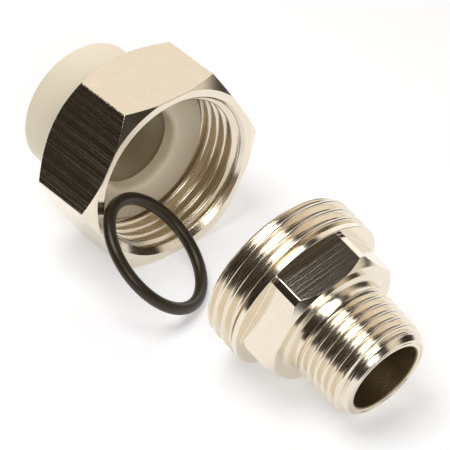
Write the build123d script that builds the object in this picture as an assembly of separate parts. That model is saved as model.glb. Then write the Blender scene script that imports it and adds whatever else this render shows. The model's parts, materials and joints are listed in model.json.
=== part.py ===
from build123d import *
import math
import os

# A union adapter taken apart: a plastic socket tailpiece held in a hexagon union nut, the rubber
# O-ring that seals it, and the metal body that screws into the nut and carries a male pipe thread.
# Each piece is drawn upright about its own Z axis and then laid where it comes to rest.

# Thread between the nut and the metal body: parallel pipe thread, size 1 inch
union_major = 33.249
union_pitch = 2.309

# Thread on the free end of the metal body: taper pipe thread, size 1/2 inch
end_major = 20.955
end_pitch = 1.814
end_gauge_length = 8.2
end_taper = 1 / 16

# Shape of both threads, and where their crests stand on the metal body's sides
thread_depth_per_pitch = 0.640327
thread_root_per_pitch = 1 / 6
thread_flank_angle = 27.5
thread_play = 0.06
thread_cut_over = 0.3
crest_angle = 145.0
union_crest_height = 4.85
end_crest_height = 21.55
nut_root_height = 0.6

# Union nut: its flats stand one wall outside the relief behind its thread
nut_wall = 1.0
nut_length = 18.0
nut_front_over_flats = 0.4
nut_front_angle = 32.0
nut_rear_under_flats = 2.0
nut_rear_angle = 42.0
nut_lip = 3.0
nut_relief_length = 1.8
nut_lip_edge = 0.4

# Plastic tailpiece
tail_tube = 26.3
tail_length = 18.6
tail_collar_length = 4.2
tail_collar_edge = 0.3
tail_waterway = 16.7
tail_waterway_lead = 1.4
tail_rim_edge = 0.6
tail_stop_wall = 3.0
socket_bore = 19.4
socket_lead = 0.6

# Clearances in the nut, each on one side
relief_over_thread = 0.3755
mouth_over_thread = 0.13
tail_in_lip = 0.3
collar_in_thread = 0.25
collar_on_lip = 0.1

# Rubber O-ring
ring_section = 2.4
ring_mean = 23.4

# Metal body, along its axis from the union end to the free end
body_length = 31.4
body_bore = 14.8
body_bore_edge = 0.3
union_lead = 1.3
union_thread_end = 7.4
union_undercut = 0.55
union_undercut_below_root = 0.14
body_collar = 33.0
body_collar_end = 9.1
body_collar_edge = 0.15
hex_flats = 27.0
hex_corner_turned = 0.78
hex_corner_end = 15.2
hex_face = 16.6
hex_chamfer_angle = 43.0
shoulder_large = 23.4
shoulder_small = 21.6
shoulder_length = 0.5
neck_diameter = 21.1
neck_end = 18.95
end_lead_length = 1.0
end_lead_face = 16.5

# Groove for the O-ring in the union end of the metal body
groove_width = 2.9
groove_depth = 1.8

# Where the loose pieces lie
body_ahead = 31.56
body_aside = -2.27
body_turn = 2.71
lowest_flat_turn = 12.72
ring_turn = 42.1
ring_touch_angle = 181.3
ring_touch_slope = 55.0
ring_gap = 0.1

# Sizes that follow from the ones above
union_depth = thread_depth_per_pitch * union_pitch
union_minor = union_major - 2 * union_depth
end_depth = thread_depth_per_pitch * end_pitch
end_face_major = end_major - end_gauge_length * end_taper
lip_hole = tail_tube + 2 * tail_in_lip
nut_relief = union_major + 2 * relief_over_thread
nut_mouth = union_major + 2 * mouth_over_thread
nut_flats = nut_relief + 2 * nut_wall
nut_corner_radius = nut_flats / math.sqrt(3)
tail_collar = union_minor - 2 * collar_in_thread
socket_depth = tail_length - tail_stop_wall
hex_corners = 2 * hex_flats / math.sqrt(3) - hex_corner_turned


def end_thread_radius(z):
    # Outer radius of the taper thread at a distance from the union end
    return end_face_major / 2 + (body_length - z) * end_taper / 2


def turned(outline):
    # A turned solid from its half outline, given as radius and height
    path = Polyline(*[(radius, 0, height) for radius, height in outline], close=True)
    return revolve(make_face(path), axis=Axis.Z)


def cut_thread(blank, pitch, crest_radius, groove_height, bottom, top, taper=0.0, inside=False):
    # Cuts a right-hand helical V groove turn by turn; groove_height is where it crosses the X side and
    # crest_radius is the thread's crest at that height
    side = -1 if inside else 1
    root = pitch * thread_root_per_pitch + thread_play
    depth = pitch * thread_depth_per_pitch + thread_play
    mouth = root + 2 * (depth + thread_cut_over) * math.tan(math.radians(thread_flank_angle))
    first = groove_height - pitch * math.ceil((groove_height - bottom + mouth / 2) / pitch)
    for turn in range(math.ceil((top + mouth / 2 - first) / pitch)):
        start = first + turn * pitch
        crest = crest_radius - (start - groove_height) * taper / 2
        path = Helix(pitch, pitch, crest, center=(0, 0, start), cone_angle=-math.degrees(math.atan(taper / 2)))
        corners = [
            (crest + side * thread_cut_over, 0, start - mouth / 2),
            (crest - side * depth, 0, start - root / 2),
            (crest - side * depth, 0, start + root / 2),
            (crest + side * thread_cut_over, 0, start + mouth / 2),
        ]
        blank = blank - sweep(make_face(Polyline(*corners, close=True)), path=path, is_frenet=True)
    return blank


def hexagon(flats, bottom, top):
    # A hexagon bar with one pair of flats facing along Y
    sketch = Pos(0, 0, bottom) * RegularPolygon(flats / 2, 6, major_radius=False)
    return extrude(sketch, top - bottom)


def chamfer_height(large_radius, small_radius, angle):
    return (large_radius - small_radius) * math.tan(math.radians(angle))


def make_union_nut():
    front = (nut_flats + nut_front_over_flats) / 2
    rear = (nut_flats - nut_rear_under_flats) / 2
    corner = nut_corner_radius
    envelope = turned([
        (0, 0),
        (rear, 0),
        (corner, chamfer_height(corner, rear, nut_rear_angle)),
        (corner, nut_length - chamfer_height(corner, front, nut_front_angle)),
        (front, nut_length),
        (0, nut_length),
    ])
    mouth_lead = (nut_mouth - union_minor) / 2
    relief_top = nut_lip + nut_relief_length
    hollow = turned([
        (0, 0),
        (lip_hole / 2 + nut_lip_edge, 0),
        (lip_hole / 2, nut_lip_edge),
        (lip_hole / 2, nut_lip),
        (nut_relief / 2, nut_lip),
        (nut_relief / 2, relief_top),
        (union_minor / 2, relief_top + (nut_relief - union_minor) / 2),
        (union_minor / 2, nut_length - mouth_lead),
        (nut_mouth / 2, nut_length),
        (0, nut_length),
    ])
    blank = (hexagon(nut_flats, 0, nut_length) & envelope) - hollow
    return cut_thread(blank, union_pitch, union_minor / 2, nut_root_height, relief_top, nut_length, inside=True)


def make_tailpiece():
    tube = tail_tube / 2
    collar = tail_collar / 2
    collar_back = tail_length - tail_collar_length
    waterway = tail_waterway / 2
    body = turned([
        (0, 0),
        (tube - tail_rim_edge, 0),
        (tube, tail_rim_edge),
        (tube, collar_back),
        (collar - tail_collar_edge, collar_back),
        (collar, collar_back + tail_collar_edge),
        (collar, tail_length - tail_collar_edge),
        (collar - tail_collar_edge, tail_length),
        (0, tail_length),
    ])
    bore = turned([
        (0, 0),
        (socket_bore / 2 + socket_lead, 0),
        (socket_bore / 2, socket_lead),
        (socket_bore / 2, socket_depth),
        (waterway, socket_depth),
        (waterway, tail_length - tail_waterway_lead),
        (waterway + tail_waterway_lead, tail_length),
        (0, tail_length),
    ])
    return body - bore


def make_o_ring():
    return Torus(ring_mean / 2, ring_section / 2)


def make_male_body():
    crest_turn = 1 / 2 - crest_angle / 360
    union_thread = cut_thread(turned([
        (0, 0),
        (union_major / 2 - union_lead, 0),
        (union_major / 2, union_lead),
        (union_major / 2, union_thread_end),
        (0, union_thread_end),
    ]), union_pitch, union_major / 2, union_crest_height + crest_turn * union_pitch, 0, union_thread_end)
    undercut_radius = union_minor / 2 - thread_play - union_undercut_below_root
    undercut_end = union_thread_end + union_undercut
    collar = body_collar / 2
    barrel = turned([
        (0, union_thread_end),
        (undercut_radius, union_thread_end),
        (undercut_radius, undercut_end),
        (collar, undercut_end),
        (collar, body_collar_end - body_collar_edge),
        (collar - body_collar_edge, body_collar_end),
        (0, body_collar_end),
    ])
    corner = hex_corners / 2
    face_radius = corner - (hex_face - hex_corner_end) / math.tan(math.radians(hex_chamfer_angle))
    hex_envelope = turned([
        (0, body_collar_end),
        (corner, body_collar_end),
        (corner, hex_corner_end),
        (face_radius, hex_face),
        (0, hex_face),
    ])
    grip = hexagon(hex_flats, body_collar_end, hex_face) & hex_envelope
    lead_start = body_length - end_lead_length
    nose = turned([
        (0, hex_face),
        (shoulder_large / 2, hex_face),
        (shoulder_small / 2, hex_face + shoulder_length),
        (neck_diameter / 2, hex_face + shoulder_length),
        (neck_diameter / 2, neck_end),
        (0, neck_end),
    ])
    end_groove = end_crest_height + crest_turn * end_pitch
    end_thread = cut_thread(turned([
        (0, neck_end),
        (end_thread_radius(neck_end), neck_end),
        (end_thread_radius(lead_start), lead_start),
        (end_lead_face / 2, body_length),
        (0, body_length),
    ]), end_pitch, end_thread_radius(end_groove), end_groove, neck_end, body_length, taper=end_taper)
    bore = body_bore / 2
    waterway = turned([
        (0, 0),
        (bore + body_bore_edge, 0),
        (bore, body_bore_edge),
        (bore, body_length - body_bore_edge),
        (bore + body_bore_edge, body_length),
        (0, body_length),
    ])
    groove_inner = (ring_mean - groove_width) / 2
    groove_outer = (ring_mean + groove_width) / 2
    groove = turned([
        (groove_inner, 0),
        (groove_outer, 0),
        (groove_outer, groove_depth),
        (groove_inner, groove_depth),
    ])
    solid = union_thread + barrel + Rot(0, 0, lowest_flat_turn) * grip + nose + end_thread
    return solid - waterway - groove


def body_resting_plane():
    # The metal body tips until its collar and the lowest hexagon corner both meet the floor
    collar = body_collar / 2
    flat_half_angle = math.degrees(math.acos(hex_flats / hex_corners))
    corner_from_down = math.radians(flat_half_angle - lowest_flat_turn)
    corner_reach = hex_corners / 2 * math.cos(corner_from_down)
    collar_edge = body_collar_end - body_collar_edge
    tip = math.atan2(collar - corner_reach, hex_corner_end - collar_edge)
    height = collar_edge * math.sin(tip) + collar * math.cos(tip)
    turn = math.radians(body_turn)
    along = (math.cos(turn) * math.cos(tip), math.sin(turn) * math.cos(tip), -math.sin(tip))
    across = (-math.sin(turn), math.cos(turn), 0)
    return Plane(origin=(body_ahead, body_aside, height), x_dir=across, z_dir=along)


def ring_resting_plane():
    # The O-ring stands on the floor and its top leans on the rim of the nut's mouth
    section = ring_section / 2
    mean = ring_mean / 2
    touch = math.radians(ring_touch_angle)
    slope = math.radians(ring_touch_slope)
    reach = section + ring_gap
    top_radius = nut_mouth / 2 - reach * math.cos(slope)
    top = Vector(reach * math.sin(slope), top_radius * math.cos(touch),
                 nut_flats / 2 + top_radius * math.sin(touch))
    lean = math.acos((top.Z - section) / (2 * mean))
    turn = math.radians(ring_turn)
    rise = Vector(-math.sin(lean) * math.cos(turn), -math.sin(lean) * math.sin(turn), math.cos(lean))
    facing = Vector(math.cos(lean) * math.cos(turn), math.cos(lean) * math.sin(turn), math.sin(lean))
    return Plane(origin=top - rise * mean, x_dir=rise, z_dir=facing)


def nut_plane():
    # The nut lies on a flat with its mouth at X = 0, facing +X
    return Plane(origin=(-nut_length, 0, nut_flats / 2), x_dir=(0, 1, 0), z_dir=(1, 0, 0))


def tail_plane():
    # The tailpiece's collar sits on the inside of the nut's lip
    start = nut_lip + collar_on_lip + tail_collar_length - tail_length
    return Plane(origin=(start - nut_length, 0, nut_flats / 2), x_dir=(0, 1, 0), z_dir=(1, 0, 0))


pieces = {
    "union_nut": nut_plane() * make_union_nut(),
    "pipe_socket_tailpiece": tail_plane() * make_tailpiece(),
    "o_ring": ring_resting_plane() * make_o_ring(),
    "male_thread_body": body_resting_plane() * make_male_body(),
}

# The origin is under the middle of the whole set, at floor level
boxes = [piece.bounding_box() for piece in pieces.values()]
middle_x = (min(b.min.X for b in boxes) + max(b.max.X for b in boxes)) / 2
middle_y = (min(b.min.Y for b in boxes) + max(b.max.Y for b in boxes)) / 2
floor_z = min(b.min.Z for b in boxes)
to_origin = Pos(-middle_x, -middle_y, -floor_z)

os.makedirs("parts", exist_ok=True)
for name, piece in pieces.items():
    export_step(to_origin * piece, "parts/" + name + ".step")
    print(name, "volume", round(piece.volume, 1))
print("mouth of the nut at X", round(-middle_x, 4), "axis at Y", round(-middle_y, 4), "floor", round(floor_z, 5))
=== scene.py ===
import json
import math

import bpy
import numpy as np
from mathutils import Matrix, Vector


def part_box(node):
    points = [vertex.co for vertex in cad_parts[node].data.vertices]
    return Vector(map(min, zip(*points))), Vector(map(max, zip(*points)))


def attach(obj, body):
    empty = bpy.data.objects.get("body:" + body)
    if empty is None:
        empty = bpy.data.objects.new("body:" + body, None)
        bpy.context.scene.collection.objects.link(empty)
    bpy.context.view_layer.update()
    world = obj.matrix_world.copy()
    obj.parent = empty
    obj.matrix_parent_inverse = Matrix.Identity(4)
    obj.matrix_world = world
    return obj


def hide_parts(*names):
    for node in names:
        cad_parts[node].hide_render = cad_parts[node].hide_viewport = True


# A pipe union adapter taken apart: nut with its plastic tailpiece, rubber ring, threaded metal body
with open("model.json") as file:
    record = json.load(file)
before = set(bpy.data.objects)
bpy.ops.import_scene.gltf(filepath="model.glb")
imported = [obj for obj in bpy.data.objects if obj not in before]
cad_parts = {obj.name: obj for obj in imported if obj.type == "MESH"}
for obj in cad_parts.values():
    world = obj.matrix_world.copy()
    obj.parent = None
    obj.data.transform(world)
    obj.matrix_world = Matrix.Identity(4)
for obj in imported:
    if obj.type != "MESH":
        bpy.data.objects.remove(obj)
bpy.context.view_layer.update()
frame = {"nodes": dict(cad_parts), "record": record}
mounts = {mount["name"]: mount for mount in frame["record"]["mounts"]}
mm = 0.001
print("frame loaded:", len(frame["nodes"]), "solids")


# Where the pieces lie, read from the frame

def localFrame(origin, axis, across):
    # Columns are the piece's own X, Y and Z in the row frame
    up = axis.cross(across)
    place = Matrix((across, up, axis)).transposed().to_4x4()
    place.translation = origin
    return place


nutLow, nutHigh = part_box("union_nut")
tailLow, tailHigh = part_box("pipe_socket_tailpiece")
nutMiddle = (nutLow + nutHigh) / 2
nutFrame = localFrame(Vector((nutLow.x, nutMiddle.y, nutMiddle.z)), Vector((1, 0, 0)), Vector((0, 1, 0)))
tailFrame = nutFrame.copy()
tailFrame.translation = Vector((tailLow.x, nutMiddle.y, nutMiddle.z))

bodyAxis = Vector(mounts["male_pipe_thread"]["axis"]).normalized()
bodyAcross = Vector((-bodyAxis.y, bodyAxis.x, 0)).normalized()
threadMiddle = 24.675 * mm  # how far along the body the thread's mount stands
bodyOrigin = Vector(mounts["male_pipe_thread"]["pos_m"]) - bodyAxis * threadMiddle
bodyFrame = localFrame(bodyOrigin, bodyAxis, bodyAcross)


# Profiles, all in millimetres in a piece's own frame. A point of an outline is (radius, z, finish), where
# the finish says which of the piece's materials the stretch after the point takes

mainFinish = 0

threadForm = {  # the pipe thread's section, as shares of its pitch
    "depth": 0.640327,
    "rounding": 0.137329,
    "flankAngle": math.radians(27.5),
}


def threadRadius(z, angle, pitch, majorRadius, crestAt):
    # Round crests and roots, right-handed, with a crest at crestAt for angle 0
    flank = threadForm["flankAngle"]
    depth = threadForm["depth"] * pitch
    rounding = threadForm["rounding"] * pitch
    arcSpan = rounding * math.cos(flank)
    arcRise = rounding * (1 - math.sin(flank))
    turn = (z - crestAt) / pitch - angle / (2 * math.pi)
    fromCrest = abs(turn - round(turn)) * pitch
    fromRoot = pitch / 2 - fromCrest
    if fromCrest < arcSpan:
        drop = rounding - math.sqrt(rounding ** 2 - fromCrest ** 2)
    elif fromRoot < arcSpan:
        drop = depth - rounding + math.sqrt(rounding ** 2 - fromRoot ** 2)
    else:
        drop = arcRise + (fromCrest - arcSpan) / math.tan(flank)
    return majorRadius - drop


def softMin(a, b, width):
    # The lower of two radii, with the corner between them eased
    gap = max(width - abs(a - b), 0) / width
    return min(a, b) - gap * gap * width / 4


def softMax(a, b, width):
    return -softMin(-a, -b, width)


def along(z, points):
    # Radius at z on a run of straight stretches given as (z, radius)
    for (z0, r0), (z1, r1) in zip(points, points[1:]):
        if z <= z1:
            return r0 + (r1 - r0) * (z - z0) / max(z1 - z0, 1e-9)
    return points[-1][1]


def levels(start, end, steps):
    return [start + (end - start) * k / steps for k in range(steps + 1)]


easing = {
    "sharpest": 0.02,  # half angle in radians below which a corner counts as this sharp
    "reachShare": 0.45,  # how much of a stretch one corner's rounding may use
    "holdShare": 0.04,  # how far past the rounding a point keeps the stretch flat, as a share of the stretch
    "holdLimit": 0.2,
}


def eased(corners, steps=3):
    # Rounds the corners of a closed outline, given as (radius, z, rounding) and the finish where it isn't
    # the main one. A point close by on either side keeps the stretches between them flat
    corners = [(*corner, mainFinish)[:4] for corner in corners]
    out = []
    for i, (r, z, rounding, finish) in enumerate(corners):
        if rounding <= 0:
            out.append((r, z, finish))
            continue
        before, after = corners[i - 1], corners[(i + 1) % len(corners)]
        here = Vector((r, z))
        toBefore = Vector(before[:2]) - here
        toAfter = Vector(after[:2]) - here
        half = max(toBefore.angle(toAfter, math.pi) / 2, easing["sharpest"])
        room = min(toBefore.length, toAfter.length) * easing["reachShare"]
        reach = min(rounding / math.tan(half), room)
        start = here + toBefore.normalized() * reach
        end = here + toAfter.normalized() * reach
        holdBefore = min(easing["holdLimit"], toBefore.length * easing["holdShare"])
        holdAfter = min(easing["holdLimit"], toAfter.length * easing["holdShare"])
        out.append((*(start + toBefore.normalized() * holdBefore), before[3]))
        for t in levels(0, 1, steps):
            out.append((*(start * (1 - t) ** 2 + here * 2 * t * (1 - t) + end * t ** 2), finish))
        out.append((*(end + toAfter.normalized() * holdAfter), finish))
    return out


def easedBetween(before, corners, after):
    # Rounded corners between two points of the outline that are drawn elsewhere
    ends = [(r, z, 0, finish) for r, z, finish in (before, after)]
    return eased([ends[0], *corners, ends[1]])[1:-1]


def surfaceUv(columns, angles, cells):
    # In millimetres: U round the piece, V along the outline for the main finish, else along the axis
    rows = len(columns[0])
    rims = [max(r for r, z, finish in column) for column in columns]
    around = [0.0]
    path = np.zeros((len(angles), rows + 1))
    for i, column in enumerate(columns):
        j = (i + 1) % len(angles)
        turn = math.cos(angles[j] - angles[i])
        around.append(around[-1] + math.sqrt(rims[i] ** 2 + rims[j] ** 2 - 2 * rims[i] * rims[j] * turn))
        for k in range(rows):
            r0, z0, _ = column[k]
            r1, z1, _ = column[(k + 1) % rows]
            path[i, k + 1] = path[i, k] + math.hypot(r1 - r0, z1 - z0)
    uv = np.zeros((len(cells) * 4, 2), np.float32)
    for cell, (i, k) in enumerate(cells):
        for corner, (step, row) in enumerate(((0, k), (1, k), (1, k + 1), (0, k + 1))):
            j = (i + step) % len(angles)
            r, z, _ = columns[j][row % rows]
            v = path[j, row] if columns[i][k][2] == mainFinish else z
            uv[cell * 4 + corner] = (around[i + step] * r / rims[j], v)
    return uv


def lathed(name, place, angles, outlineAt, materials):
    # A closed skin from one outline for each angle, all with the same number of points
    columns = [outlineAt(angle) for angle in angles]
    rows = len(columns[0])
    verts = []
    for angle, column in zip(angles, columns):
        c, s = math.cos(angle), math.sin(angle)
        verts += [place @ Vector((r * c * mm, r * s * mm, z * mm)) for r, z, _ in column]
    cells = [(i, k) for i in range(len(angles)) for k in range(rows)]
    faces = []
    for i, k in cells:
        j, n = (i + 1) % len(angles), (k + 1) % rows
        faces.append((i * rows + k, j * rows + k, j * rows + n, i * rows + n))
    mesh = bpy.data.meshes.new(name)
    mesh.from_pydata(verts, [], faces)
    layer = mesh.uv_layers.new(name="surface")
    layer.data.foreach_set("uv", surfaceUv(columns, angles, cells).ravel())
    for material in materials:
        mesh.materials.append(material)
    mesh.polygons.foreach_set("material_index", [columns[i][k][2] for i, k in cells])
    mesh.polygons.foreach_set("use_smooth", [True] * len(faces))
    mesh.update()
    obj = bpy.data.objects.new(name, mesh)
    bpy.context.scene.collection.objects.link(obj)
    return obj


def turnAngles(count):
    return [2 * math.pi * k / count for k in range(count)]


# Hexagons

cornerSpacing = {
    "evenShare": 0.35,  # the rest of the spacing draws the columns towards the corners
    "besideEdge": (-0.006, -0.002, 0.002, 0.006),  # in radians
}


def hexRadius(angle, flats, firstFlat, cornerRounding):
    # Distance from the axis to a hexagon's side in one direction, with eased corners
    step = math.pi / 3
    off = (angle - firstFlat + step / 2) % step - step / 2
    toFlat = flats / 2 / math.cos(off)
    toNextFlat = flats / 2 / math.cos(step - abs(off))
    return softMin(toFlat, toNextFlat, cornerRounding)


def hexAngles(firstFlat, perSide, edgeAt=None):
    # Angles round a hexagon, closer together near its corners and, where given, beside an edge that stands
    # edgeAt from the middle of each flat
    even = cornerSpacing["evenShare"]
    turns = []
    for k in range(perSide):
        t = (k + 0.5) / perSide * 2 - 1
        turns.append((even * t + (1 - even) * math.sin(t * math.pi / 2)) * math.pi / 6)
    if edgeAt:
        turns += [side * (edgeAt + step) for side in (-1, 1) for step in cornerSpacing["besideEdge"]]
    return [firstFlat + side * math.pi / 3 + turn for side in range(6) for turn in sorted(turns)]


# Materials

def newMaterial(name):
    material = bpy.data.materials.new(name)
    material.use_nodes = True
    nodes, links = material.node_tree.nodes, material.node_tree.links
    return material, nodes, links, nodes["Principled BSDF"]


def stretchedNoise(nodes, links, scale, detail, spread):
    # Noise on the surface's UV. How fine it is along U and V is given apart, so that it can draw lines
    coord = nodes.new("ShaderNodeUVMap")
    coord.uv_map = "surface"
    mapping = nodes.new("ShaderNodeMapping")
    mapping.inputs["Scale"].default_value = (*spread, 1)
    links.new(coord.outputs["UV"], mapping.inputs["Vector"])
    noise = nodes.new("ShaderNodeTexNoise")
    noise.inputs["Scale"].default_value = scale
    noise.inputs["Detail"].default_value = detail
    links.new(mapping.outputs["Vector"], noise.inputs["Vector"])
    return noise.outputs["Fac"]


def addBump(nodes, links, shader, height, depth, strength=1.0):
    bump = nodes.new("ShaderNodeBump")
    bump.inputs["Strength"].default_value = strength
    bump.inputs["Distance"].default_value = depth
    links.new(height, bump.inputs["Height"])
    links.new(bump.outputs["Normal"], shader.inputs["Normal"])


def addGrain(nodes, links, shader, look):
    # An even, fine unevenness
    grain = stretchedNoise(nodes, links, look["grainScale"], look["grainDetail"], (1, 1))
    addBump(nodes, links, shader, grain, look["grainDepth"], look["grainStrength"])


plate = {  # depths in metres; lines is how fine the tool's lines are along U and V
    "colour": (0.86, 0.78, 0.65),
    "cloudy": 0.92,
    "cloudScale": 0.5,
    "cloudDetail": 3.0,
    "lineScale": 3.0,
    "lineDetail": 5.0,
    "smoothBelow": 0.42,
    "roughAbove": 0.62,
    "turned": {"smooth": 0.15, "rough": 0.22, "depth": 0.000006, "lines": (0.02, 2.0)},
    "milledNut": {"smooth": 0.12, "rough": 0.30, "depth": 0.000016, "lines": (1.5, 0.006)},
    "milledBody": {"smooth": 0.08, "rough": 0.17, "depth": 0.0000018, "lines": (0.002, 1.2)},
    "burred": {"smooth": 0.12, "rough": 0.50, "depth": 0.000150, "lines": (0.8, 0.8)},
}


def platedMetal(name, finish):
    # Nickel plate: lines left by the tool under it, and a slight cloudiness
    material, nodes, links, shader = newMaterial(name)
    shader.inputs["Metallic"].default_value = 1.0
    lines = stretchedNoise(nodes, links, plate["lineScale"], plate["lineDetail"], finish["lines"])
    cloud = stretchedNoise(nodes, links, plate["cloudScale"], plate["cloudDetail"], (1, 1))
    tint = nodes.new("ShaderNodeMix")
    tint.data_type = "RGBA"
    tint.inputs[6].default_value = (*plate["colour"], 1)  # sockets 6 and 7 are the two colours
    tint.inputs[7].default_value = (*[part * plate["cloudy"] for part in plate["colour"]], 1)
    links.new(cloud, tint.inputs["Factor"])
    links.new(tint.outputs[2], shader.inputs["Base Color"])
    rough = nodes.new("ShaderNodeMapRange")
    rough.inputs["From Min"].default_value = plate["smoothBelow"]
    rough.inputs["From Max"].default_value = plate["roughAbove"]
    rough.inputs["To Min"].default_value = finish["smooth"]
    rough.inputs["To Max"].default_value = finish["rough"]
    links.new(lines, rough.inputs["Value"])
    links.new(rough.outputs["Result"], shader.inputs["Roughness"])
    addBump(nodes, links, shader, lines, finish["depth"])
    return material


bareBrass = {
    "colour": (0.36, 0.275, 0.165),
    "roughness": 0.42,
    "grainScale": 2.5,
    "grainDetail": 5.0,
    "grainDepth": 0.00012,
    "grainStrength": 1.0,
}


def drilledBore(name):
    material, nodes, links, shader = newMaterial(name)
    shader.inputs["Metallic"].default_value = 1.0
    shader.inputs["Roughness"].default_value = bareBrass["roughness"]
    shader.inputs["Base Color"].default_value = (*bareBrass["colour"], 1)
    addGrain(nodes, links, shader, bareBrass)
    return material


plastic = {
    "ivory": (0.93, 0.83, 0.65),
    # the socket's bore: the same plastic painted darker, as painted shade where little light reaches inside
    "socket": (0.42, 0.36, 0.23),
    "roughness": 0.38,
    "translucent": 0.3,
    "glowColour": (1.0, 0.8, 0.5),
    "glowReach": 0.0012,
    "grainScale": 3.0,
    "grainDetail": 3.0,
    "grainDepth": 0.00003,
    "grainStrength": 0.06,
}


def mouldedPlastic(name, colour):
    material, nodes, links, shader = newMaterial(name)
    shader.inputs["Base Color"].default_value = (*colour, 1)
    shader.inputs["Roughness"].default_value = plastic["roughness"]
    shader.inputs["Subsurface Weight"].default_value = plastic["translucent"]
    shader.inputs["Subsurface Radius"].default_value = plastic["glowColour"]
    shader.inputs["Subsurface Scale"].default_value = plastic["glowReach"]
    addGrain(nodes, links, shader, plastic)
    return material


rubber = {
    "colour": (0.024, 0.017, 0.010),
    "shineColour": (1.0, 0.88, 0.72),
    "roughness": 0.36,
    "grainScale": 2.0,
    "grainDetail": 4.0,
    "grainDepth": 0.00003,
    "grainStrength": 0.10,
}


def mouldedRubber(name):
    material, nodes, links, shader = newMaterial(name)
    shader.inputs["Base Color"].default_value = (*rubber["colour"], 1)
    shader.inputs["Specular Tint"].default_value = (*rubber["shineColour"], 1)
    shader.inputs["Roughness"].default_value = rubber["roughness"]
    addGrain(nodes, links, shader, rubber)
    return material


nutTurned = platedMetal("nutTurnedPlate", plate["turned"])
nutMilled = platedMetal("nutMilledPlate", plate["milledNut"])
nutBurred = platedMetal("nutBurredPlate", plate["burred"])
bodyTurned = platedMetal("bodyTurnedPlate", plate["turned"])
bodyMilled = platedMetal("bodyMilledPlate", plate["milledBody"])
boreBrass = drilledBore("boreBrass")
ivoryPlastic = mouldedPlastic("ivoryPlastic", plastic["ivory"])
# Painted shade: the socket's bore gets a darker copy of the ivory plastic
socketShadePlastic = mouldedPlastic("socketShadePlastic", plastic["socket"])
sealRubber = mouldedRubber("sealRubber")
print("materials made")


# The union nut

nut = {
    "flats": (nutHigh.z - nutLow.z) / mm,
    "length": (nutHigh.x - nutLow.x) / mm,
    "frontOverFlats": 0.4,
    "frontAngle": math.radians(32.0),
    "rearUnderFlats": 2.0,
    "rearAngle": math.radians(42.0),
    "firstFlat": math.pi / 2,
    "threadMajor": 33.249,
    "threadPitch": 2.309,
    "rootAt": 0.6,  # height of the thread's root at angle 0
    "threadFromFront": 0.12,
    "relief": 34.0,
    "reliefLength": 1.8,
    "lip": 3.0,
    "lipHole": 26.9,
    "mouth": 33.5,
    "columnsPerSide": 56,
    "threadRows": 150,
    "edge": 0.10,
    "edgeBreak": 0.18,
    "lipRound": 0.3,
    "lipInnerRound": 0.2,
    "cornerEase": 0.12,
    "chamferEase": 0.1,
    "threadEase": 0.12,
    "burr": 0.011,  # how far each side of a corner the sharp edge is rough, in radians
}
nutFlat, nutCorner = 1, 2  # finishes


def nutThread(angle):
    # From the front back to the relief; the thread starts where the mouth's and the relief's cones let it
    major = nut["threadMajor"] / 2
    minor = major - threadForm["depth"] * nut["threadPitch"]
    mouth, relief = nut["mouth"] / 2, nut["relief"] / 2
    reliefEnd = nut["lip"] + nut["reliefLength"]
    narrowest = [
        (reliefEnd, relief),
        (reliefEnd + relief - minor, minor),
        (nut["length"] - (mouth - minor), minor),
        (nut["length"], mouth),
    ]
    points = []
    for z in levels(nut["length"] - nut["threadFromFront"], reliefEnd, nut["threadRows"])[1:-1]:
        groove = threadRadius(z, angle, nut["threadPitch"], major, nut["rootAt"])
        points.append((softMax(groove, along(z, narrowest), nut["threadEase"]), z, mainFinish))
    return points


def nutOutline(angle):
    side = hexRadius(angle, nut["flats"], nut["firstFlat"], nut["cornerEase"])
    rear = (nut["flats"] - nut["rearUnderFlats"]) / 2
    front = (nut["flats"] + nut["frontOverFlats"]) / 2
    rearZ = (side - rear) * math.tan(nut["rearAngle"])
    cut = softMax(side - front, nut["edgeBreak"], nut["chamferEase"])
    frontZ = nut["length"] - cut * math.tan(nut["frontAngle"])
    fromCorner = abs((angle + math.pi / 6) % (math.pi / 3) - math.pi / 6)
    flat = nutCorner if fromCorner < nut["burr"] else nutFlat
    edge, hole, relief = nut["edge"], nut["lipHole"] / 2, nut["relief"] / 2
    outside = [
        (hole, 0, nut["lipRound"]),
        (rear, 0, edge),
        (side, rearZ, edge, flat),
        (side, frontZ, edge),
        (side - cut, nut["length"], edge),
        (nut["mouth"] / 2, nut["length"], edge),
    ]
    inside = [
        (relief, nut["lip"] + nut["reliefLength"], edge),
        (relief, nut["lip"], nut["lipRound"]),
        (hole, nut["lip"], nut["lipInnerRound"]),
    ]
    thread = nutThread(angle)
    first = easedBetween((hole, nut["lip"], mainFinish), outside, thread[0])
    last = easedBetween(thread[-1], inside, (hole, 0, mainFinish))
    return first + thread + last


def makeNut():
    angles = hexAngles(nut["firstFlat"], nut["columnsPerSide"])
    obj = lathed("unionNutPlated", nutFrame, angles, nutOutline, [nutTurned, nutMilled, nutBurred])
    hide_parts("union_nut")
    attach(obj, "fitting")


makeNut()
print("union nut made")


# The plastic tailpiece

tail = {
    "length": (tailHigh.x - tailLow.x) / mm,
    "tube": 26.3,
    "collar": (tailHigh.z - tailLow.z) / mm,
    "collarLength": 4.2,
    "waterway": 16.7,
    "stopWall": 3.0,
    "socket": 19.4,
    "columns": 180,
    "rimRound": 0.6,
    "neckRound": 0.25,
    "collarEdge": 0.3,
    "waterwayRound": 1.4,
    "stopEdge": 0.1,
    "socketFloorRound": 0.2,
    "roundSteps": 8,
}
tailSocketShade = 1  # finish for the socket's bore: a darker copy of the ivory plastic, painted shade inside the socket


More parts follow.
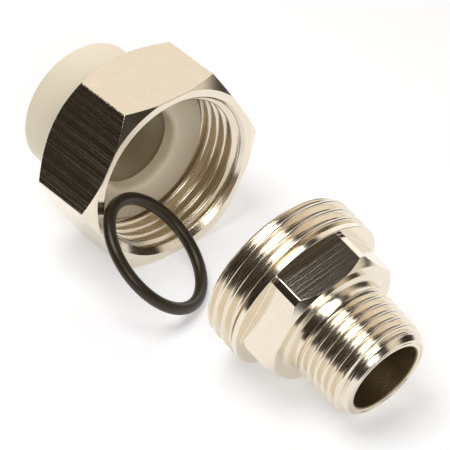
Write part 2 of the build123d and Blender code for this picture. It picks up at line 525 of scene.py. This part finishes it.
def tailOutline(angle):
    tube, collar = tail["tube"] / 2, tail["collar"] / 2
    waterway, socket = tail["waterway"] / 2, tail["socket"] / 2
    back = tail["length"] - tail["collarLength"]
    depth = tail["length"] - tail["stopWall"]
    return eased([
        (socket, 0, tail["rimRound"]),
        (tube, 0, tail["rimRound"]),
        (tube, back, tail["neckRound"]),
        (collar, back, tail["collarEdge"]),
        (collar, tail["length"], tail["collarEdge"]),
        (waterway, tail["length"], tail["waterwayRound"]),
        (waterway, depth, tail["stopEdge"]),
        # from here round to the rim the socket's bore takes the darker plastic, painted shade
        (socket, depth, tail["socketFloorRound"], tailSocketShade),
    ], tail["roundSteps"])


def makeTailpiece():
    angles = turnAngles(tail["columns"])
    obj = lathed("socketTailpiece", tailFrame, angles, tailOutline, [ivoryPlastic, socketShadePlastic])
    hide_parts("pipe_socket_tailpiece")
    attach(obj, "tailpiece")


makeTailpiece()
print("tailpiece made")


# The rubber ring, leaning on the nut

ring = {
    "section": 2.4,
    "mean": 23.4,
    "columns": 160,
    "rows": 40,
}


def ringFrame():
    # The lean follows from the box: along each axis a torus reaches mean / 2 * sqrt(1 - n * n) + section / 2
    # from its middle, where n is that part of the direction that the ring faces
    low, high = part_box("o_ring")
    facing = []
    for reach in (high - low) / 2 / mm:
        share = (reach - ring["section"] / 2) / (ring["mean"] / 2)
        facing.append(math.sqrt(max(1 - share * share, 0)))
    facing = Vector(facing).normalized()
    across = Vector((-facing.y, facing.x, 0)).normalized()
    return localFrame((low + high) / 2, facing, across)


def ringOutline(angle):
    mean, section = ring["mean"] / 2, ring["section"] / 2
    turns = turnAngles(ring["rows"])
    return [(mean + section * math.cos(t), section * math.sin(t), mainFinish) for t in turns]


def makeRing():
    obj = lathed("sealRing", ringFrame(), turnAngles(ring["columns"]), ringOutline, [sealRubber])
    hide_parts("o_ring")
    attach(obj, "fitting")


makeRing()
print("rubber ring made")


# The threaded metal body, along its axis from the union end

body = {
    "length": 31.4,
    "bore": 14.8,
    "boreEdge": 0.3,
    "edge": 0.1,
    "columnsPerSide": 36,
    "crestAngle": math.radians(145.0),  # where round the body the crest heights below were taken
    # groove for the ring in the union end
    "grooveInner": 20.5,
    "grooveOuter": 26.3,
    "grooveDepth": 1.8,
    "grooveFloorRound": 0.2,
    # union thread and the undercut behind it
    "unionMajor": 33.249,
    "unionPitch": 2.309,
    "unionCrestAt": 4.85,
    "unionLead": 1.3,
    "unionEnd": 7.4,
    "unionEase": 0.12,
    "unionMargin": 0.05,
    "unionRows": 92,
    "undercut": 29.9,
    "undercutEnd": 7.95,
    "undercutWall": 0.15,
    # collar, hexagon and shoulder
    "collar": 33.0,
    "collarEnd": 9.1,
    "collarEdge": 0.15,
    "flats": 27.0,
    "corners": 30.4,
    "firstFlat": math.radians(12.72) + math.pi / 2,
    "cornerEase": 0.1,
    "turnedEase": 0.02,
    "hexFace": 16.6,
    "hexCornerEnd": 15.2,
    "chamferAngle": math.radians(43.0),
    "chamferEase": 0.08,
    "edgeBreak": 0.15,
    "shoulderLarge": 23.4,
    "shoulderSmall": 21.6,
    "shoulderLength": 0.5,
    "neck": 21.1,
    "neckEnd": 18.95,
    # taper thread, which rises out of a shallow relief behind the neck
    "endMajor": 20.955,
    "endPitch": 1.814,
    "endGauge": 8.2,
    "endSlope": 1 / 32,
    "endCrestAt": 21.55,
    "endEase": 0.1,
    "endMargin": 0.08,
    "endRows": 148,
    "reliefDepth": 0.6,
    "reliefFlat": 0.35,
    "reliefLength": 0.95,
    # free end: a cone before the thread, and a face with a fine turned ring in it
    "tipEnd": 31.2,
    "tipFace": 17.8,
    "tipFaceInset": 0.03,
    "tipCone": 18.9,
    "tipConeLength": 1.0,
    "tipThreadStart": 1.8,
    "tipMargin": 0.05,
    "tipRing": 16.8,
    "tipRingTop": 0.16,
    "tipRingFloor": 0.08,
    "tipRingDepth": 0.12,
    "tipRingEdge": 0.04,
    "tipBoreEdge": 0.25,
}
bodyFlat, bodyBore = 1, 2  # finishes


def endRadius(z):
    # Crest radius of the taper thread
    atFace = body["endMajor"] / 2 - body["endGauge"] * body["endSlope"]
    return atFace + (body["length"] - z) * body["endSlope"]


def unionFace():
    b = body
    inner, outer, depth = b["grooveInner"] / 2, b["grooveOuter"] / 2, b["grooveDepth"]
    return [
        (b["bore"] / 2, 0, b["boreEdge"]),
        (inner, 0, b["edge"]),
        (inner, depth, b["grooveFloorRound"]),
        (outer, depth, b["grooveFloorRound"]),
        (outer, 0, b["edge"]),
    ]


def unionThread(angle):
    b = body
    major, undercut, margin = b["unionMajor"] / 2, b["undercut"] / 2, b["unionMargin"]
    widest = [
        (0, major - b["unionLead"]),
        (b["unionLead"], major),
        (b["unionEnd"], major),
        (b["unionEnd"] + b["undercutWall"], undercut),
        (b["undercutEnd"] - b["undercutWall"], undercut),
        (b["undercutEnd"], b["collar"] / 2),
    ]
    points = []
    for z in levels(margin, b["undercutEnd"] - margin, b["unionRows"]):
        crest = threadRadius(z, angle - b["crestAngle"], b["unionPitch"], major, b["unionCrestAt"])
        points.append((softMin(crest, along(z, widest), b["unionEase"]), z, mainFinish))
    return points


def hexagonAndNeck(angle):
    b = body
    edge, collar, face = b["edge"], b["collar"] / 2, b["hexFace"]
    side = hexRadius(angle, b["flats"], b["firstFlat"], b["cornerEase"])
    side = softMin(side, b["corners"] / 2, b["turnedEase"])
    slope = math.tan(b["chamferAngle"])
    faceRadius = b["corners"] / 2 - (face - b["hexCornerEnd"]) / slope
    cut = softMax(side - faceRadius, b["edgeBreak"], b["chamferEase"])
    shoulderEnd = face + b["shoulderLength"]
    return [
        (collar, b["undercutEnd"], edge),
        (collar, b["collarEnd"], b["collarEdge"]),
        (side, b["collarEnd"], b["collarEdge"], bodyFlat),
        (side, face - cut * slope, edge),
        (side - cut, face, edge),
        (b["shoulderLarge"] / 2, face, edge),
        (b["shoulderSmall"] / 2, shoulderEnd, edge),
        (b["neck"] / 2, shoulderEnd, edge),
        (b["neck"] / 2, b["neckEnd"], edge),
    ]


def endThread(angle):
    b = body
    start, tip = b["neckEnd"], b["tipEnd"]
    relief = endRadius(start) - b["reliefDepth"]
    threadStart, threadEnd = start + b["reliefLength"], tip - b["tipThreadStart"]
    widest = [
        (start, relief),
        (start + b["reliefFlat"], relief),
        (threadStart, endRadius(threadStart)),
        (threadEnd, endRadius(threadEnd)),
        (tip - b["tipConeLength"], b["tipCone"] / 2),
        (tip, b["tipFace"] / 2),
    ]
    points = []
    for z in levels(start + b["endMargin"], tip - b["tipMargin"], b["endRows"]):
        crest = threadRadius(z, angle - b["crestAngle"], b["endPitch"], endRadius(z), b["endCrestAt"])
        points.append((softMin(crest, along(z, widest), b["endEase"]), z, mainFinish))
    return points


def freeEnd():
    b = body
    tip, ringRadius, edge = b["tipEnd"], b["tipRing"] / 2, b["tipRingEdge"]
    floor = tip - b["tipRingDepth"]
    return [
        (b["tipFace"] / 2 - b["tipFaceInset"], tip, b["edge"]),
        (ringRadius + b["tipRingTop"], tip, edge),
        (ringRadius + b["tipRingFloor"], floor, edge),
        (ringRadius - b["tipRingFloor"], floor, edge),
        (ringRadius - b["tipRingTop"], tip, edge),
        (b["bore"] / 2, tip, b["tipBoreEdge"], bodyBore),
    ]


def bodyOutline(angle):
    bore = body["bore"] / 2
    union, thread = unionThread(angle), endThread(angle)
    start = easedBetween((bore, body["tipEnd"], bodyBore), unionFace(), union[0])
    middle = easedBetween(union[-1], hexagonAndNeck(angle), thread[0])
    end = easedBetween(thread[-1], freeEnd(), (bore, 0, bodyBore))
    return start + union + middle + thread + end


def makeBody():
    turnedEdge = math.acos(body["flats"] / body["corners"])  # where a flat meets the turned corner
    angles = hexAngles(body["firstFlat"], body["columnsPerSide"], turnedEdge)
    obj = lathed("threadedBodyPlated", bodyFrame, angles, bodyOutline, [bodyTurned, bodyMilled, boreBrass])
    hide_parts("male_thread_body")
    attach(obj, "fitting")


makeBody()
print("threaded body made")


# Studio: white table, soft box above, a lamp beside the camera, and a dark room with three bright patches

studio = {
    "tableRadius": 0.16,
    "tableSides": 96,
    "tableColour": (0.70, 0.698, 0.702),
    "tableGlow": 0.63,
    "tableRoughness": 0.9,
    "tableShine": 0.1,
    "boxPlace": (-0.06, -0.145, 0.50),
    "boxSize": (0.30, 0.33),
    "boxPower": 1.65,
    "fillPlace": (0.72, -0.36, 0.62),
    "fillSize": (0.45, 0.45),
    "fillPower": 2.6,
    "room": (0.030, 0.023, 0.017),
    "bounces": 16,
    "glossyBounces": 12,
}

patches = {  # heading and height in degrees: where each patch starts, is full, starts to fade and ends
    "sweep": {"colour": (0.985, 0.916, 0.837), "heading": (92, 99, 160, 172), "height": (-25, -15, 58, 65)},
    "window": {"colour": (0.20, 0.27, 0.36), "heading": (85, 98, 118, 132), "height": (-25, -15, 34, 48)},
    "doorway": {"colour": (0.80, 0.74, 0.66), "heading": (18, 28, 52, 62), "height": (-25, -15, 45, 58)},
}


def makeTable():
    bpy.ops.mesh.primitive_circle_add(vertices=studio["tableSides"], radius=studio["tableRadius"],
                                      fill_type="NGON")
    table = bpy.context.object
    table.name = "table"
    material, nodes, links, shader = newMaterial("tablePaper")
    shader.inputs["Base Color"].default_value = (*studio["tableColour"], 1)
    shader.inputs["Roughness"].default_value = studio["tableRoughness"]
    shader.inputs["Specular IOR Level"].default_value = studio["tableShine"]
    shader.inputs["Emission Color"].default_value = (*studio["tableColour"], 1)
    shader.inputs["Emission Strength"].default_value = studio["tableGlow"]
    table.data.materials.append(material)


def makeLamp(name, place, size, power, aimed):
    # A rectangular lamp that faces the middle of the set where it is aimed, and else straight down
    light = bpy.data.lights.new(name, "AREA")
    light.shape = "RECTANGLE"
    light.size, light.size_y = size
    light.energy = power
    obj = bpy.data.objects.new(name, light)
    obj.location = place
    if aimed:
        obj.rotation_euler = Vector(place).to_track_quat("Z", "Y").to_euler()
    bpy.context.scene.collection.objects.link(obj)


def makeWorld():
    world = bpy.data.worlds.new("studio")
    bpy.context.scene.world = world
    world.use_nodes = True
    nodes, links = world.node_tree.nodes, world.node_tree.links
    coord = nodes.new("ShaderNodeTexCoord")
    split = nodes.new("ShaderNodeSeparateXYZ")
    links.new(coord.outputs["Generated"], split.inputs[0])

    def worked(operation, first, second=None):
        # The result of one sum, whose parts are numbers or other nodes' results
        node = nodes.new("ShaderNodeMath")
        node.operation = operation
        for socket, value in zip(node.inputs, (first, second)):
            if isinstance(value, (int, float)):
                socket.default_value = value
            elif value is not None:
                links.new(value, socket)
        return node.outputs[0]

    heading = worked("ARCTAN2", split.outputs["Y"], split.outputs["X"])
    height = worked("ARCSINE", split.outputs["Z"])

    def step(source, low, high):
        # Eases from 0 at low to 1 at high, both in degrees
        ease = nodes.new("ShaderNodeMapRange")
        ease.interpolation_type = "SMOOTHSTEP"
        ease.inputs["From Min"].default_value = math.radians(low)
        ease.inputs["From Max"].default_value = math.radians(high)
        links.new(source, ease.inputs["Value"])
        return ease.outputs["Result"]

    def litPatch(patch):
        # A soft-edged bright rectangle in the surroundings
        level = 1
        for source, (start, full, fade, end) in ((heading, patch["heading"]), (height, patch["height"])):
            share = worked("SUBTRACT", step(source, start, full), step(source, fade, end))
            level = worked("MULTIPLY", share, level)
        lit = nodes.new("ShaderNodeVectorMath")
        lit.operation = "SCALE"
        lit.inputs[0].default_value = patch["colour"]
        links.new(level, lit.inputs["Scale"])
        return lit.outputs[0]

    light = None
    for patch in patches.values():
        total = nodes.new("ShaderNodeVectorMath")
        links.new(litPatch(patch), total.inputs[0])
        if light is None:
            total.inputs[1].default_value = studio["room"]
        else:
            links.new(light, total.inputs[1])
        light = total.outputs[0]
    seen = nodes.new("ShaderNodeMix")  # the camera itself sees plain white
    seen.data_type = "RGBA"
    seen.inputs[7].default_value = (1, 1, 1, 1)
    links.new(nodes.new("ShaderNodeLightPath").outputs["Is Camera Ray"], seen.inputs["Factor"])
    links.new(light, seen.inputs[6])
    links.new(seen.outputs[2], nodes["Background"].inputs["Color"])


makeTable()
makeLamp("softBox", studio["boxPlace"], studio["boxSize"], studio["boxPower"], False)
makeLamp("fillLamp", studio["fillPlace"], studio["fillSize"], studio["fillPower"], True)
makeWorld()


# Camera

shot = {
    "place": (0.50147, -0.40577, 0.51978),
    "heading": (-0.77854, 0.62760),
    "down": math.radians(37.912),
    "lens": 356.16,
    "sensor": 36,
    "nearest": 0.01,
    "farthest": 10,
}


def makeCamera():
    data = bpy.data.cameras.new("shot")
    data.sensor_width = shot["sensor"]
    data.lens = shot["lens"]
    data.clip_start, data.clip_end = shot["nearest"], shot["farthest"]
    x, y = shot["heading"]
    level = math.cos(shot["down"])
    forward = Vector((x * level, y * level, -math.sin(shot["down"])))
    right = Vector((y, -x, 0)).normalized()
    turn = Matrix((right, right.cross(forward), -forward)).transposed().to_4x4()
    turn.translation = Vector(shot["place"])
    camera = bpy.data.objects.new("shot", data)
    camera.matrix_world = turn
    bpy.context.scene.collection.objects.link(camera)
    bpy.context.scene.camera = camera


makeCamera()
bpy.context.scene.view_settings.view_transform = "Standard"
bpy.context.scene.cycles.max_bounces = studio["bounces"]
bpy.context.scene.cycles.glossy_bounces = studio["glossyBounces"]
print("studio made")
